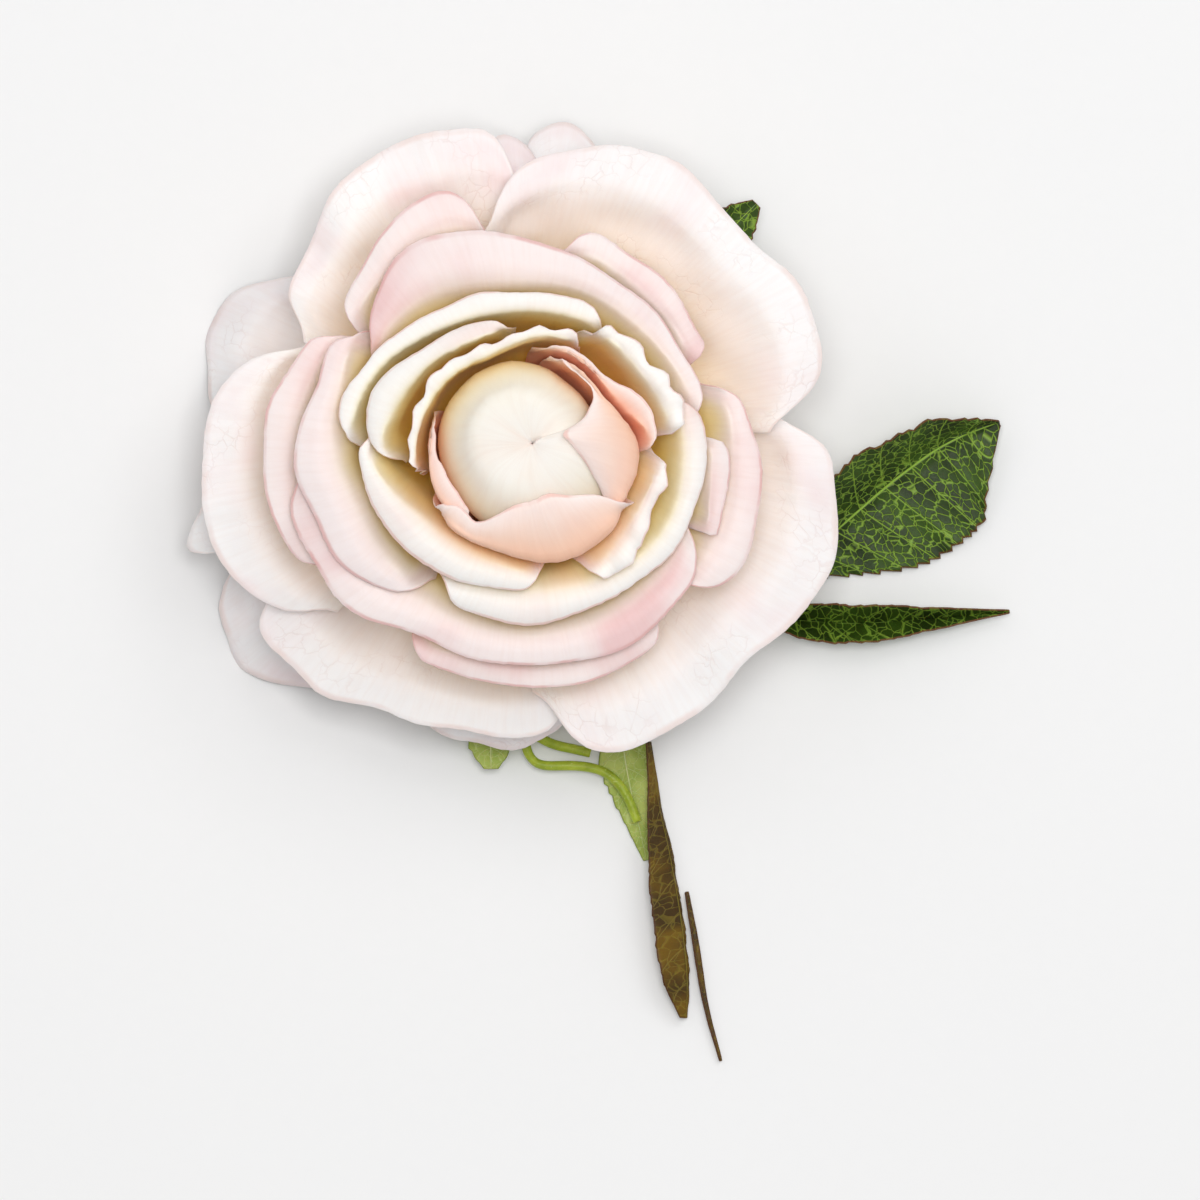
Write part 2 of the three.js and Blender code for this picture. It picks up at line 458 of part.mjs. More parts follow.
const STALKS = [
  ['right_stalk', [[3.8, -3, 4.2], [14, -9.6, 3], [28, -16.6, 2.7], [36, -19.8, 2.8],
    [41.6, -21.4, 2.6]], 10],
  ['top_stalk', [[3.6, 2.6, 4.6], [12, 9.6, 4], [20, 17.2, 4.2]], 8],
  ['bottom_stalk', [[0.6, -4.6, 4.4], [1.4, -26, 2.6], [1.3, -45, 3.6], [1.5, -49.6, 3.4],
    [3, -51.8, 3], [9.4, -52, 2.6], [14, -53, 2.4], [17.2, -56.4, 2.2], [19, -60.8, 2]], 30],
  ['bottom_branch', [[2.9, -47.2, 3.4], [5.6, -48.6, 2.6], [9, -49.4, 2.2], [11.6, -50, 2]], 8]
]

for (const [name, points, steps] of STALKS) {
  add(name, rod(points, STALK_RADIUS, STALK_SIDES, steps), 'green')
}

// ---- Origin at the bottom centre of the whole rose ----
const box = new THREE.Box3().setFromObject(rose)
const middle = box.getCenter(new THREE.Vector3())
rose.position.set(-middle.x, -middle.y, -box.min.z)

export default rose
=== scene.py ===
"""A full garden rose in ivory and palest pink, lying face up with its leaf sprigs spread beside it.

Every petal, sepal and leaf is a finer, ruffled copy of the middle surface of its own CAD sheet.
"""
import json
import math
from collections import Counter

import bmesh
import bpy
import numpy as np
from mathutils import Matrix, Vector


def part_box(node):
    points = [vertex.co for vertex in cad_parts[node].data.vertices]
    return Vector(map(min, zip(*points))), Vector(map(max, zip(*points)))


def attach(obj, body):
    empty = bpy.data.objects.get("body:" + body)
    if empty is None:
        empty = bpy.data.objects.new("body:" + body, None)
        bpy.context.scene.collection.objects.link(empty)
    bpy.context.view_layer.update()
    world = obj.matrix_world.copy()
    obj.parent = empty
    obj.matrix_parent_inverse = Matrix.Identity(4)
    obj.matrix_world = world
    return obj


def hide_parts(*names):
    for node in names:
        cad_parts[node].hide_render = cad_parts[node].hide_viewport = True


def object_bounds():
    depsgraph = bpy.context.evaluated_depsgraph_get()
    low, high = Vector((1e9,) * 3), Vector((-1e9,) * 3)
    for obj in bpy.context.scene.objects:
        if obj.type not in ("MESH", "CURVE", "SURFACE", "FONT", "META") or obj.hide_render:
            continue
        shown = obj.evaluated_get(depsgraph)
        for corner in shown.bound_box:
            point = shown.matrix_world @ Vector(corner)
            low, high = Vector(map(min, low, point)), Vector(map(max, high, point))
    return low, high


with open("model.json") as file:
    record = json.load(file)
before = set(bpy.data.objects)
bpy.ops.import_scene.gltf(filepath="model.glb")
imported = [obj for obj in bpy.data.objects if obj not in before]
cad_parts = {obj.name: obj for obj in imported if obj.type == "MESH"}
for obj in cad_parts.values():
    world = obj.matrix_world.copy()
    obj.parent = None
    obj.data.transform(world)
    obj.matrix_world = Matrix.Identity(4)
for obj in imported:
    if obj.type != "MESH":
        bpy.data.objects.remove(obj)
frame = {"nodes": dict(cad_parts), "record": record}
CAD_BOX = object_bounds()
LOW, HIGH = CAD_BOX
MIDDLE = (LOW + HIGH) / 2
MM = 0.001
SLOTS = {part["node"]: part["material_slot"] for part in frame["record"]["subparts"]}


# ---- The camera looks straight down on the open face ----
FRAME_WIDTH = 187.5 * MM
CAMERA_DISTANCE = 4.0
SENSOR_WIDTH = 36.0
FOCUS_HEIGHT = 0.5 * HIGH.z
FRAME_SHIFT = -1.2 * MM  # of the frame's middle along Y, from the middle of the rose


def make_camera():
    data = bpy.data.cameras.new("camera")
    data.sensor_width = SENSOR_WIDTH
    data.lens = SENSOR_WIDTH * CAMERA_DISTANCE / FRAME_WIDTH
    data.clip_start, data.clip_end = 0.1, 50
    camera = bpy.data.objects.new("camera", data)
    camera.location = (MIDDLE.x, MIDDLE.y + FRAME_SHIFT, FOCUS_HEIGHT + CAMERA_DISTANCE)
    bpy.context.scene.collection.objects.link(camera)
    bpy.context.scene.camera = camera


make_camera()


# ---- The middle surface of a CAD sheet, as a grid of points ----
CAD_SHEET = 0.4 * MM  # how thick every CAD sheet is
SAME_POINT = 0.002 * MM
SAME_LENGTH = 0.0004 * MM
HEART = sum(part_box("receptacle"), Vector()) / 2


def merged(node):
    """The points and triangles of a CAD node, with each shared corner held once."""
    mesh = frame["nodes"][node].data
    points = np.array([v.co for v in mesh.vertices])
    keys = np.round(points / SAME_POINT).astype(np.int64)
    _, first, back = np.unique(keys, axis=0, return_index=True, return_inverse=True)
    back = back.ravel()
    triangles = [tuple(int(back[i]) for i in face.vertices) for face in mesh.polygons]
    return points[first], triangles


def edges_of(triangle):
    a, b, c = triangle
    return [(min(p, q), max(p, q)) for p, q in ((a, b), (b, c), (c, a))]


def rim_of(points, triangles, touching):
    """The triangles of the thin rim: each has an edge as long as the sheet is thick, and two rim neighbours."""
    short = [(a, b) for a, b in touching if abs(np.linalg.norm(points[a] - points[b]) - CAD_SHEET) < SAME_LENGTH]
    held = Counter(point for edge in short for point in edge)
    rim = {t for edge in short if min(held[point] for point in edge) == 1 for t in touching[edge]}
    while True:
        loose = set()
        for t in rim:
            near = {f for edge in edges_of(triangles[t]) for f in touching[edge]} - {t}
            if len(near & rim) < 2:
                loose.add(t)
        if not loose:
            return rim
        rim -= loose


def two_sides(points, triangles):
    """The triangles of the sheet's two faces."""
    touching = {}
    for t, triangle in enumerate(triangles):
        for edge in edges_of(triangle):
            touching.setdefault(edge, []).append(t)
    left = sorted(set(range(len(triangles))) - rim_of(points, triangles, touching))
    waiting, sides = set(left), []
    for start in left:
        if start not in waiting:
            continue
        waiting.discard(start)
        side, queue = [start], [start]
        while queue:
            for edge in edges_of(triangles[queue.pop()]):
                for t in touching[edge]:
                    if t in waiting:
                        waiting.discard(t)
                        side.append(t)
                        queue.append(t)
        sides.append([triangles[t] for t in sorted(side)])
    if len(sides) != 2 or len(sides[0]) != len(sides[1]):
        raise ValueError("a sheet's faces were not told apart")
    return sides


def border_runs(side, touching):
    """The four sides of the grid, each as a list of point numbers from corner to corner."""
    ahead, count = {}, {}
    for triangle in side:
        for corner in triangle:
            count[corner] = count.get(corner, 0) + 1
        for edge in edges_of(triangle):
            if len(touching[edge]) == 1:
                ahead.setdefault(edge[0], []).append(edge[1])
                ahead.setdefault(edge[1], []).append(edge[0])
    corners = sorted(p for p in ahead if count[p] <= 2)
    if len(corners) != 4:
        raise ValueError("a sheet has no four corners")
    loop = [corners[0], ahead[corners[0]][0]]
    while loop[-1] != corners[0]:
        loop.append(next(p for p in ahead[loop[-1]] if p != loop[-2]))
    cuts = [i for i, p in enumerate(loop) if p in corners]
    return [loop[a:b + 1] for a, b in zip(cuts, cuts[1:])]


def walk(points, side, start=None):
    """The side's points as rows from its seated end outward. start is a point near the first one."""
    touching = {}
    for t, triangle in enumerate(side):
        for edge in edges_of(triangle):
            touching.setdefault(edge, []).append(t)
    runs = border_runs(side, touching)
    reach = [np.linalg.norm(points[run] - HEART, axis=1).mean() for run in runs]
    seated = int(np.argmin(reach))
    row = runs[seated]
    if start is None:
        flat = points[row][:, :2] - np.array(HEART)[:2]
        turn = (flat[:-1, 0] * flat[1:, 1] - flat[:-1, 1] * flat[1:, 0]).sum()
        backward = turn < 0
    else:
        ends = np.linalg.norm(points[[row[0], row[-1]]] - start, axis=1)
        backward = ends[1] < ends[0]
    edge_run = runs[(seated + 1) % 4]
    if backward:
        row = row[::-1]
    else:
        edge_run = runs[seated - 1][::-1]
    rows, used = [row], set()

    def third(a, b):
        """The corner across the edge from a to b, in the triangle there that isn't used yet."""
        for t in touching[(min(a, b), max(a, b))]:
            if t not in used:
                used.add(t)
                return next(p for p in side[t] if p not in (a, b))
        raise ValueError("a sheet's grid has a gap")

    for first in edge_run[1:]:
        new = [first]
        for a, b in zip(row, row[1:]):
            tip = third(a, b)
            if tip == new[-1]:
                tip = third(b, tip)
            else:
                third(a, tip)
            new.append(tip)
        rows.append(new)
        row = new
    return points[np.array(rows)]


def middle_surface(node):
    """[row][column] of points on the middle of a CAD sheet, from its seated end outward."""
    points, triangles = merged(node)
    one, other = two_sides(points, triangles)
    first = walk(points, one)
    return (first + walk(points, other, start=first[0, 0])) / 2


# ---- Finer grids ----
def spline(rows, places):
    """Rows at fractional places, on smooth curves through all the rows."""
    padded = np.concatenate([[2 * rows[0] - rows[1]], rows, [2 * rows[-1] - rows[-2]]])
    i = np.minimum(places.astype(int), len(rows) - 2)
    t = (places - i).reshape((-1,) + (1,) * (rows.ndim - 1))
    a, b, c, d = (padded[i + k] for k in range(4))
    cubic = (3 * b - a - 3 * c + d) * t + (2 * a - 5 * b + 4 * c - d)
    return 0.5 * (2 * b + t * ((c - a) + t * cubic))


def even_places(rows, step):
    """Fractional row places that are a step apart along the sheet."""
    strides = np.linalg.norm(np.diff(rows, axis=0), axis=-1).mean(axis=1)
    travelled = np.concatenate([[0], np.cumsum(strides)])
    count = max(4, round(travelled[-1] / step))
    return np.interp(np.linspace(0, travelled[-1], count + 1), travelled, np.arange(len(travelled)))


def smooth_step(low, high, x):
    t = np.clip((x - low) / (high - low), 0, 1)
    return t * t * (3 - 2 * t)


def waves(rng, x, length, parts=4):
    """A smooth random curve of x, about 1 high, whose waves are about this long."""
    total = np.zeros_like(x)
    for k in range(parts):
        own = length * rng.uniform(0.6, 1.7)
        total += rng.uniform(0.5, 1) * np.sin(2 * np.pi * (x / own + rng.random()))
    return total / math.sqrt(parts)


def field(rng, x, y, length, parts=7):
    """A smooth random surface over x and y, about 1 high."""
    total = np.zeros(np.broadcast(x, y).shape)
    for k in range(parts):
        angle = rng.uniform(0, 2 * np.pi)
        own = length * rng.uniform(0.7, 1.6)
        along = x * math.cos(angle) + y * math.sin(angle)
        total += np.sin(2 * np.pi * (along / own + rng.random()))
    return total / math.sqrt(parts)


def frame_of(grid):
    """Unit vectors along the rows' direction outward, along the columns, and the normal."""
    outward = np.gradient(grid, axis=0)
    across = np.gradient(grid, axis=1)
    normal = np.cross(across, outward)
    return [v / np.maximum(np.linalg.norm(v, axis=2, keepdims=True), 1e-12) for v in (outward, across, normal)]


def lengths_of(grid):
    """Millimetres travelled outward along the middle column, and across along the last row but a few."""
    column = grid[:, grid.shape[1] // 2]
    row = grid[int(0.85 * len(grid))]
    travelled = []
    for line in (column, row):
        steps = np.linalg.norm(np.diff(line, axis=0), axis=1) / MM
        travelled.append(np.concatenate([[0], np.cumsum(steps)]))
    return travelled


# ---- From a grid to a closed, thickened piece ----
def thicken(name, grid, thickness, layers):
    """A closed mesh around the grid with a rounded rim. layers: attribute name to [row][column] numbers."""
    rows, columns = grid.shape[:2]
    outward, across, normal = frame_of(grid)
    half = np.broadcast_to(np.asarray(thickness) / 2, (rows, columns))[..., None]
    count = rows * columns
    number = np.arange(count).reshape(rows, columns)
    border = np.concatenate([number[0, :-1], number[:-1, -1], number[-1, :0:-1], number[:0:-1, 0]])
    push = np.zeros_like(grid)
    push[0] -= outward[0]
    push[-1] += outward[-1]
    push[:, 0] -= across[:, 0]
    push[:, -1] += across[:, -1]
    push = push.reshape(-1, 3)[border]
    push /= np.linalg.norm(push, axis=1, keepdims=True)
    flat = grid.reshape(-1, 3)[border] + push * half.reshape(-1, 1)[border]
    points = np.concatenate([(grid + normal * half).reshape(-1, 3), (grid - normal * half).reshape(-1, 3), flat])
    a, b = number[:-1, :-1].ravel(), number[:-1, 1:].ravel()
    c, d = number[1:, 1:].ravel(), number[1:, :-1].ravel()
    faces = [np.stack([a, b, c, d], 1), np.stack([d, c, b, a], 1) + count]
    rim = 2 * count + np.arange(len(border))
    rim_next, border_next = np.roll(rim, -1), np.roll(border, -1)
    faces.append(np.stack([border, rim, rim_next, border_next], 1))
    faces.append(np.stack([rim, border + count, border_next + count, rim_next], 1))
    mesh = bpy.data.meshes.new(name)
    mesh.from_pydata(points.tolist(), [], np.concatenate(faces).tolist())
    mesh.polygons.foreach_set("use_smooth", np.ones(len(mesh.polygons), bool))
    side = np.concatenate([np.ones(count), -np.ones(count), np.zeros(len(border))])
    values = {"side": side, "rim": np.concatenate([np.zeros(2 * count), np.ones(len(border))])}
    for layer, numbers in layers.items():
        numbers = np.broadcast_to(numbers, (rows, columns)).ravel()
        values[layer] = np.concatenate([numbers, numbers, numbers[border]])
    for layer, numbers in values.items():
        mesh.attributes.new(layer, "FLOAT", "POINT").data.foreach_set("value", numbers.astype(np.float32))
    mesh.update()
    piece = bpy.data.objects.new(name, mesh)
    bpy.context.scene.collection.objects.link(piece)
    return piece


def settle(piece, node, materials):
    """Gives a piece its material, and lets it stand for its CAD node."""
    slot = SLOTS[node]
    piece.data.materials.append(materials[slot])
    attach(piece, "root")
    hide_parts(node)


# ---- Petals ----
PETAL_STEP = 0.85 * MM
PETAL_THICKNESS = 0.3 * MM
RIM_THINNESS = 0.55

# How each kind of petal is ruffled, in millimetres: how far its lip waves up and down and how long
# those waves are, how far its rim's outline wanders, and how deep the wall's soft dents are. cut is
# the share of its height by which its rim is drawn back at its two ends.
RUFFLES = {
    "heart": dict(lift=0.05, wave=9, wander=0.05, dent=0.2, cut=0.0),
    "bud": dict(lift=0.2, wave=9, wander=0.25, dent=0.15, cut=0.12),
    "ruffle": dict(lift=0.6, wave=5.5, wander=0.5, dent=0.12, cut=0.15),
    "cup": dict(lift=0.25, wave=16, wander=0.35, dent=0.15, cut=0.16),
    "ring": dict(lift=0.3, wave=18, wander=0.4, dent=0.2, cut=0.16),
    "skirt": dict(lift=0.3, wave=18, wander=0.4, dent=0.2, cut=0.16),
    "guard": dict(lift=0.7, wave=22, wander=0.5, dent=0.35, cut=0.12),
    "under": dict(lift=0.5, wave=14, wander=0.4, dent=0.3, cut=0.1),
}
CUT_REACH = 0.14  # share of the petal's breadth, at each end, over which its rim is drawn back
LIP_START = 0.5  # how far out the lip's waves begin
FRAY = 0.06  # millimetres that the cut rim is ragged by
CREASE_DEPTH = 0.1  # millimetres, of the pressed lines that run out to the rim
CREASE_SPACING = 2.4


def cut_round(grid, amount):
    """The grid with its rim drawn back along the sheet towards both ends, which rounds its corners."""
    share = np.linspace(0, 1, grid.shape[1])
    end = np.minimum(share, 1 - share)
    keep = 1 - amount * (1 - smooth_step(0, CUT_REACH, end)) ** 1.5
    place = np.arange(len(grid))[:, None] * keep
    low = np.minimum(place.astype(int), len(grid) - 2)
    t = (place - low)[..., None]
    column = np.arange(grid.shape[1])[None, :]
    return grid[low, column] * (1 - t) + grid[low + 1, column] * t


HEART_SHUT = 0.85  # how much narrower the heart petal's mouth is drawn, as a share
HEART_DIP = 0.9  # millimetres that the mouth is drawn down


def drawn_shut(grid, rise):
    """The heart petal with its mouth drawn together and a little down."""
    mouth = grid[-1].mean(axis=0)
    pull = smooth_step(0.86, 1, rise)[..., None]
    drawn = grid.copy()
    drawn[..., :2] = mouth[:2] + (grid[..., :2] - mouth[:2]) * (1 - HEART_SHUT * pull)
    drawn[..., 2:] -= HEART_DIP * MM * pull ** 2
    return drawn


def petal_piece(node, seed):
    coarse = middle_surface(node)
    rng = np.random.default_rng(seed)
    style = RUFFLES[node.split("_")[0]]
    places = even_places(coarse, PETAL_STEP)
    turned = coarse.transpose(1, 0, 2)
    columns = even_places(turned[:, -4:], PETAL_STEP)
    grid = spline(spline(turned, columns).transpose(1, 0, 2), places)
    rise = (places / (len(coarse) - 1))[:, None]
    grid = cut_round(grid, style["cut"])
    out_mm, across_mm = lengths_of(grid)
    out_mm, across_mm = out_mm[:, None], across_mm[None, :]
    outward, across, normal = frame_of(grid)
    lip = smooth_step(LIP_START, 1, rise)
    lift = style["lift"] * lip ** 1.5 * waves(rng, across_mm, style["wave"])
    lift = lift + 0.2 * style["lift"] * lip ** 3 * waves(rng, across_mm, 0.35 * style["wave"])
    inside = np.sin(np.pi * np.clip(rise, 0, 1))
    dent = style["dent"] * inside * field(rng, across_mm, out_mm, 14)
    crease = waves(rng, across_mm + 0.6 * waves(rng, out_mm, 12), CREASE_SPACING, 5)
    pressed = CREASE_DEPTH * smooth_step(0.2, 0.7, rise) * (1 - 0.7 * lip ** 4) * crease
    if node == "heart_petal":
        pressed = pressed * (1 - lip)
    wander = style["wander"] * lip ** 3 * waves(rng, across_mm, 0.8 * style["wave"])
    ragged = FRAY * (rise > 1 - 1e-6) * waves(rng, across_mm, 1.7, 6)
    grid = grid + (normal * (lift + dent + pressed)[..., None] + outward * (wander + ragged)[..., None]) * MM
    if node == "heart_petal":
        grid = drawn_shut(grid, rise)
    thickness = PETAL_THICKNESS * (1 - (1 - RIM_THINNESS) * lip)
    share = across_mm / across_mm[0, -1]
    layers = {
        "rise": rise, "share": share, "across": across_mm, "outward": out_mm,
        "tone": np.full((1, 1), rng.random()),
    }
    return thicken("petal_" + node, grid, thickness, layers)


# ---- Node helpers ----
class Tree:
    """A material's nodes, with short calls for the ones used here."""

    def __init__(self, name):
        self.material = bpy.data.materials.new(name)
        self.material.use_nodes = True
        self.nodes = self.material.node_tree.nodes
        self.links = self.material.node_tree.links
        self.shader = self.nodes["Principled BSDF"]

    def put(self, socket, value):
        if isinstance(value, bpy.types.NodeSocket):
            self.links.new(value, socket)
        else:
            socket.default_value = value

    def attribute(self, name):
        node = self.nodes.new("ShaderNodeAttribute")
        node.attribute_name = name
        return node.outputs["Fac"]

    def math(self, operation, a, b=0.0, c=0.0):
        node = self.nodes.new("ShaderNodeMath")
        node.operation = operation
        for socket, value in zip(node.inputs, (a, b, c)):
            self.put(socket, value)
        return node.outputs[0]

    def combine(self, x, y, z):
        node = self.nodes.new("ShaderNodeCombineXYZ")
        for socket, value in zip(node.inputs, (x, y, z)):
            self.put(socket, value)
        return node.outputs[0]

    def noise(self, vector, scale, detail=3.0, rough=0.5):
        node = self.nodes.new("ShaderNodeTexNoise")
        self.put(node.inputs["Vector"], vector)
        self.put(node.inputs["Scale"], scale)
        self.put(node.inputs["Detail"], detail)
        self.put(node.inputs["Roughness"], rough)
        return node.outputs["Fac"]

    def cracks(self, vector, scale, randomness=1.0):
        """How far a point is from the nearest crack of a cell pattern."""
        node = self.nodes.new("ShaderNodeTexVoronoi")
        node.feature = "DISTANCE_TO_EDGE"
        self.put(node.inputs["Vector"], vector)
        self.put(node.inputs["Scale"], scale)
        self.put(node.inputs["Randomness"], randomness)
        return node.outputs["Distance"]

    def between(self, value, low, high, to_low=0.0, to_high=1.0):
        """value mapped from low..high to to_low..to_high, clamped and eased."""
        node = self.nodes.new("ShaderNodeMapRange")
        node.interpolation_type = "SMOOTHSTEP"
        for socket, number in zip(node.inputs, (value, low, high, to_low, to_high)):
            self.put(socket, number)
        return node.outputs[0]

    def ramp(self, value, stops):
        node = self.nodes.new("ShaderNodeValToRGB")
        node.color_ramp.interpolation = "B_SPLINE"
        elements = node.color_ramp.elements
        while len(elements) < len(stops):
            elements.new(0.5)
        for element, (place, colour) in zip(elements, stops):
            element.position = place
            element.color = colour + (1,)
        self.put(node.inputs["Fac"], value)
        return node.outputs["Color"]

    def mix(self, amount, a, b, blend="MIX"):
        node = self.nodes.new("ShaderNodeMix")
        node.data_type = "RGBA"
        node.blend_type = blend
        self.put(node.inputs["Factor"], amount)
        for key, value in (("A", a), ("B", b)):
            socket = next(s for s in node.inputs if s.name == key and s.type == "RGBA")
            self.put(socket, value + (1,) if isinstance(value, tuple) else value)
        return next(s for s in node.outputs if s.type == "RGBA")

    def bump(self, height, distance, strength=1.0):
        node = self.nodes.new("ShaderNodeBump")
        self.put(node.inputs["Height"], height)
        node.inputs["Distance"].default_value = distance
        node.inputs["Strength"].default_value = strength
        self.links.new(node.outputs["Normal"], self.shader.inputs["Normal"])

    def finish(self, colour, roughness, **values):
        self.put(self.shader.inputs["Base Color"], colour)
        self.put(self.shader.inputs["Roughness"], roughness)
        for key, value in values.items():
            self.shader.inputs[key.replace("_", " ")].default_value = value
        return self.material


def hexed(text):
    """A colour written as on a screen, as linear numbers."""
    parts = (int(text[i:i + 2], 16) / 255 for i in (0, 2, 4))
    return tuple(p / 12.92 if p <= 0.04045 else ((p + 0.055) / 1.055) ** 2.4 for p in parts)


# ---- Petal material: deep yellow and orange at the seat, partly dye and partly painted glow of light in the gaps, pale on the lip, with pressed veins ----
def petal_material(name, stops, blush, blush_amount, edge, crackle=0.0):
    """stops: colours from the seat to the rim, whose deep yellow and orange low down is partly dye and partly
    painted glow of light in the gaps. blush tints patches and edge the hem; crackle is the fine grain.
    """
    tree = Tree(name)
    across, outward = tree.attribute("across"), tree.attribute("outward")
    tone = tree.attribute("tone")
    surface = tree.combine(across, outward, tree.math("MULTIPLY", tone, 90.0))
    streaks = tree.combine(tree.math("MULTIPLY", across, 1.5), tree.math("MULTIPLY", outward, 0.12), tone)
    vein = tree.noise(streaks, 1.0, 4.0, 0.6)
    cloud = tree.noise(surface, 0.09, 2.0)
    shifted = tree.math("MULTIPLY_ADD", tree.math("SUBTRACT", cloud, 0.5), 0.16, tree.attribute("rise"))
    # Colour by height up the petal: the saturated yellow and orange towards the seat is partly dye and partly
    # painted glow, standing in for light that passes through and bounces between petals in the deep gaps.
    colour = tree.ramp(shifted, stops)
    patches = tree.between(tree.noise(surface, 0.05, 3.0), 0.42, 0.72)
    toned = tree.math("MULTIPLY", patches, tree.math("MULTIPLY_ADD", tone, 0.5, 0.6))
    on_lip = tree.between(tree.attribute("rise"), 0.5, 0.8)
    colour = tree.mix(tree.math("MULTIPLY", tree.math("MULTIPLY", toned, on_lip), blush_amount), colour, blush)
    dark_vein = tree.math("MULTIPLY", tree.between(vein, 0.35, 0.6, 1.0, 0.0), 0.1)
    colour = tree.mix(dark_vein, colour, (0.86, 0.72, 0.66), "MULTIPLY")
    warped = tree.nodes.new("ShaderNodeVectorMath")
    warped.operation = "MULTIPLY_ADD"
    wobble = tree.noise(surface, 0.7, 2.0)
    tree.put(warped.inputs[0], tree.combine(wobble, wobble, wobble))
    warped.inputs[1].default_value = (1.6, -1.9, 0)
    tree.put(warped.inputs[2], surface)
    crack = tree.between(tree.cracks(warped.outputs[0], 0.42), 0.0, 0.06, 1.0, 0.0)
    where = tree.between(tree.noise(surface, 0.11, 2.0), 0.48, 0.68)
    crack = tree.math("MULTIPLY", crack, where)
    if crackle:
        colour = tree.mix(tree.math("MULTIPLY", crack, 0.3 * crackle), colour, hexed("d9bcb6"), "MULTIPLY")
    hem = tree.between(tree.attribute("rise"), 0.972, 0.99)
    hem = tree.math("MULTIPLY", hem, tree.between(tree.noise(surface, 0.16, 2.0), 0.36, 0.6, 0.15, 0.75))
    hem = tree.math("MAXIMUM", hem, tree.math("MULTIPLY", tree.attribute("rim"), 0.7))
    colour = tree.mix(hem, colour, edge)
    grain = tree.noise(surface, 5.0, 2.0)
    height = tree.math("MULTIPLY_ADD", vein, 0.6, tree.math("MULTIPLY", grain, 0.25))
    height = tree.math("MULTIPLY_ADD", crack, -0.7 * crackle, height)
    tree.bump(height, 0.12 * MM, 0.55)
    rough = tree.between(grain, 0.2, 0.8, 0.6, 0.78)
    material = tree.finish(
        colour, rough, Subsurface_Weight=0.35, Subsurface_Scale=0.0006, Subsurface_Radius=(1.0, 0.9, 0.8),
        Sheen_Weight=0.08, Specular_IOR_Level=0.12)
    return material


# The deep yellows and oranges are the petals' seat colours: partly dye, partly painted glow of light in the gaps
# between petals.
IVORY, SNOW, ORANGE = hexed("fdf6ec"), hexed("fdfaf7"), hexed("ffa868")
MUSTARD, DEEP = hexed("ffd85c"), hexed("ffba20")
CREAM, BLUSH = hexed("fff3d2"), hexed("f6dcd8")

PETAL_LOOKS = {
    "petal_heart": dict(
        stops=[(0, ORANGE), (0.34, hexed("ffd080")), (0.54, hexed("ffeabc")), (0.76, hexed("fdf4e6")), (1, hexed("fcf5ee"))],
        blush=hexed("f8dccb"), blush_amount=0.9, edge=BLUSH),
    "petal_blush": dict(
        stops=[(0, ORANGE), (0.4, hexed("ffa878")), (0.6, hexed("fcc8ac")), (0.82, hexed("fbdccf")), (1, hexed("fdf0ec"))],
        blush=hexed("f5c6bb"), blush_amount=0.8, edge=hexed("edbcb2")),
    "petal_ivory": dict(
        stops=[(0, DEEP), (0.36, MUSTARD), (0.46, hexed("ffeaa8")), (0.58, CREAM), (0.72, IVORY), (1, SNOW)],
        blush=BLUSH, blush_amount=0.9, edge=hexed("efc4ba")),
    "petal_pink": dict(
        stops=[(0, DEEP), (0.34, MUSTARD), (0.45, hexed("ffedbc")), (0.56, hexed("fdeee6")), (0.75, hexed("f7e3e0")),
               (1, hexed("f9edeb"))],
        blush=hexed("eec9c9"), blush_amount=1.0, edge=hexed("e2adaa")),
    "petal_guard": dict(
        stops=[(0, MUSTARD), (0.3, hexed("fbece0")), (0.52, hexed("f6ebe7")), (0.78, hexed("f7f1f0")), (1, hexed("faf8f7"))],
        blush=hexed("f1dadb"), blush_amount=0.9, edge=hexed("f0dbd6"), crackle=0.7),
}


# ---- Leaves and sepals ----
LEAF_STEP = 0.5 * MM
LEAF_THICKNESS = 0.3 * MM
MIDRIB = 2  # column of the CAD blade that runs along the midrib


def blade_piece(node, seed, veins, relief, teeth):
    """veins: pairs of side veins. relief: their depth in mm. teeth: how far the margin's teeth reach in mm."""
    coarse = middle_surface(node)
    rng = np.random.default_rng(seed)
    places = even_places(coarse, LEAF_STEP)
    ribs = spline(coarse, places)
    last = coarse.shape[1] - 1
    widest = np.linalg.norm(np.diff(ribs, axis=1), axis=2).sum(axis=1).max()
    count = 2 * max(4, round(widest / LEAF_STEP / 2))
    columns = np.linspace(0, last, count + 1)
    i = np.minimum(columns.astype(int), last - 1)
    t = (columns - i)[None, :, None]
    grid = ribs[:, i] * (1 - t) + ribs[:, i + 1] * t
    along = (places / (len(coarse) - 1))[:, None]
    out_mm = lengths_of(grid)[0][:, None]
    side = ((columns - MIDRIB) / MIDRIB)[None, :]
    reach = np.abs(side)
    outward, across, normal = frame_of(grid)
    phase = along * veins - 0.9 * reach ** 1.3 * (1 - 0.4 * along)
    quilt = np.abs(np.sin(np.pi * phase)) ** 0.6
    width_mm = (np.linalg.norm(ribs[:, -1] - ribs[:, 0], axis=1) / MM)[:, None]
    room = np.minimum(1, width_mm / 8)
    height = relief * room * (quilt - 0.6) * smooth_step(0, 0.15, reach)
    height = height - 1.3 * relief * room * (1 - smooth_step(0, 0.12, reach))
    height = height + relief * room * 1.2 * reach ** 2 * waves(rng, out_mm, 9)
    saw = ((out_mm + 0.5 * waves(rng, out_mm, 7)) / 2.3) % 1.0
    edge_on = smooth_step(0.86, 1, reach) * smooth_step(0, 0.08, along) * (1 - smooth_step(0.94, 1, along))
    tooth = teeth * room ** 2 * edge_on * (saw - 0.5)
    away = across * np.sign(side)[..., None]
    grid = grid + normal * height[..., None] * MM + away * tooth[..., None] * MM
    layers = {"rise": along, "across": side, "outward": out_mm, "width": side * width_mm / 2,
              "tone": np.full((1, 1), rng.random())}
    return thicken("blade_" + node, grid, LEAF_THICKNESS, layers)


